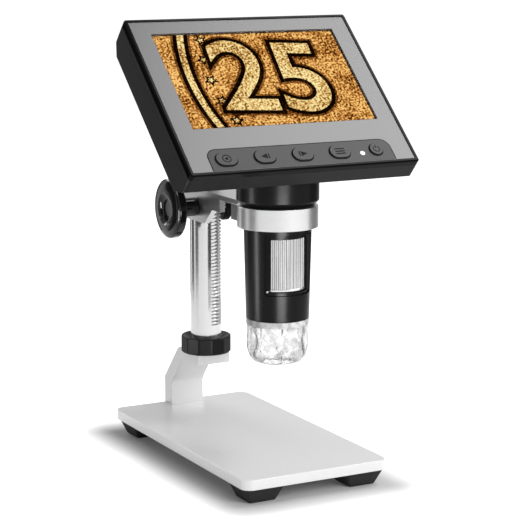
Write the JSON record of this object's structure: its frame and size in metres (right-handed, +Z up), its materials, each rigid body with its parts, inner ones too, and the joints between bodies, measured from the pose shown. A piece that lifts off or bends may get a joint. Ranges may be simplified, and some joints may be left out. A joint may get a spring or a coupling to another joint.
{
  "type": "lcd digital microscope",
  "caption": "Desktop digital microscope: tilted screen on a barrel held by a ring clamp, on a rack-and-pinion column and flat stage.",
  "frame": {"origin": "on the floor plane, under the middle of the base plate", "axes": "+Z up, -Y towards the user, +X to the user's right"},
  "size_m": [0.1184, 0.146, 0.2158],
  "materials": {
    "brushed_plate": "satin anodised",
    "satin_aluminium": "brushed",
    "cast_arm": "bead blasted",
    "turned_column": "bright turned",
    "ribbed_silver": "satin plated",
    "foot_rubber": "matt",
    "screw_steel": "zinc plated",
    "gear_steel": "machined",
    "bush_brass": "turned",
    "black_plastic": "satin moulded",
    "knob_gloss": "polished",
    "barrel_satin": "soft touch",
    "shell_satin": "fine texture",
    "rim_black": "polished",
    "panel_grey": "painted grey under clear",
    "strip_grey": "membrane",
    "button_grey": "satin",
    "screen_glass": "clear",
    "lcd_picture": "lit picture",
    "lens_glass": "coated",
    "clear_plastic": "clear moulded",
    "led_white": "clear epoxy",
    "pad_nylon": "moulded",
    "board_green": "solder mask",
    "chip_dark": "moulded",
    "flex_amber": "polyimide",
    "cell_foil": "foil",
    "socket_steel": "stamped"
  },
  "bodies": {
    "stand": {"base_plate": "brushed_plate", "rubber_feet": "foot_rubber", "foot_screws": "screw_steel", "bracket": "satin_aluminium", "bracket_screws": "screw_steel"},
    "column": {"column": "turned_column", "column_bolt": "screw_steel", "column_cap": "black_plastic"},
    "collar": {"lock_collar": "black_plastic"},
    "carriage": {"carriage": "cast_arm", "pinion_bush": "bush_brass", "ring_clamp": "satin_aluminium", "arm_screws": "screw_steel", "pinch_screw": "screw_steel", "lock_pad": "pad_nylon"},
    "height_knob": {"pinion": "gear_steel", "focus_knob": "knob_gloss", "knob_screw": "screw_steel"},
    "height_lock": {"lock_knob": "black_plastic"},
    "head": {"barrel_shell": "barrel_satin", "neck_shell": "barrel_satin", "wheel_retainer": "black_plastic", "led_board": "board_green", "leds": "led_white", "clear_cap": "clear_plastic", "sensor_board": "board_green", "image_sensor": "chip_dark", "camera_cable": "flex_amber", "front_frame": "rim_black", "front_panel": "panel_grey", "button_strip": "strip_grey", "screen_glass": "screen_glass", "lcd_module": "lcd_picture", "light_pipe": "led_white", "main_board": "board_green", "tact_switches": "chip_dark", "battery": "cell_foil", "usb_socket": "socket_steel", "card_socket": "socket_steel", "dimmer_body": "chip_dark", "rear_shell": "shell_satin", "shell_screws": "screw_steel"},
    "wheel": {"focus_wheel": "ribbed_silver"},
    "lens": {"lens_cell": "black_plastic", "front_lens": "lens_glass", "rear_lens": "lens_glass"},
    "select_key": {"select_button": "button_grey"},
    "left_key": {"left_button": "button_grey"},
    "right_key": {"right_button": "button_grey"},
    "menu_key": {"menu_button": "button_grey"},
    "power_key": {"power_button": "button_grey"},
    "dimmer": {"dimmer_wheel": "black_plastic"}
  },
  "joints": [
    {"name": "column_swivel", "type": "hinge", "parent": "stand", "child": "column", "pos_m": [0, 0.0423, 0.0449], "axis": [0, 0, 1], "range_deg": [-45, 45]},
    {"name": "collar_turn", "type": "hinge", "parent": "stand", "child": "collar", "pos_m": [0, 0.0423, 0.0449], "axis": [0, 0, 1], "range_deg": [0, 270]},
    {"name": "carriage_lift", "type": "slide", "parent": "column", "child": "carriage", "axis": [0, 0, 1], "range_m": [-0.04, 0.04]},
    {"name": "height_turn", "type": "hinge", "parent": "carriage", "child": "height_knob", "pos_m": [0, 0.03189, 0.1215], "axis": [1, 0, 0], "range_deg": [-760, 760]},
    {"name": "lock_turn", "type": "hinge", "parent": "carriage", "child": "height_lock", "pos_m": [0, 0.0465, 0.1168], "axis": [1, 0, 0], "range_deg": [0, 360]},
    {"name": "head_turn", "type": "hinge", "parent": "carriage", "child": "head", "pos_m": [0, -0.0335, 0.1305], "axis": [0, 0, 1], "range_deg": [-30, 30]},
    {"name": "focus_turn", "type": "hinge", "parent": "head", "child": "wheel", "pos_m": [0, -0.0335, 0.1305], "axis": [0, 0, 1], "range_deg": [-120, 120]},
    {"name": "lens_slide", "type": "slide", "parent": "head", "child": "lens", "axis": [0, 0, 1], "range_m": [-0.0021, 0.0021]},
    {"name": "select_press", "type": "slide", "parent": "head", "child": "select_key", "axis": [0, 0.6743, -0.7385], "range_m": [0, 0.0006], "stiffness_N_per_m": 600, "springref_m": -0.0004},
    {"name": "left_press", "type": "slide", "parent": "head", "child": "left_key", "axis": [0, 0.6743, -0.7385], "range_m": [0, 0.0006], "stiffness_N_per_m": 600, "springref_m": -0.0004},
    {"name": "right_press", "type": "slide", "parent": "head", "child": "right_key", "axis": [0, 0.6743, -0.7385], "range_m": [0, 0.0006], "stiffness_N_per_m": 600, "springref_m": -0.0004},
    {"name": "menu_press", "type": "slide", "parent": "head", "child": "menu_key", "axis": [0, 0.6743, -0.7385], "range_m": [0, 0.0006], "stiffness_N_per_m": 600, "springref_m": -0.0004},
    {"name": "power_press", "type": "slide", "parent": "head", "child": "power_key", "axis": [0, 0.6743, -0.7385], "range_m": [0, 0.0006], "stiffness_N_per_m": 600, "springref_m": -0.0004},
    {"name": "dimmer_turn", "type": "hinge", "parent": "head", "child": "dimmer", "pos_m": [0.05325, -0.01313, 0.19689], "axis": [0, 0.6743, -0.7385], "range_deg": [-130, 130]}
  ],
  "couplings": [
    {"joint": "height_turn", "follows": "carriage_lift", "rad_per_m": -326.4},
    {"joint": "lens_slide", "follows": "focus_turn", "m_per_rad": 0.00095493}
  ]
}
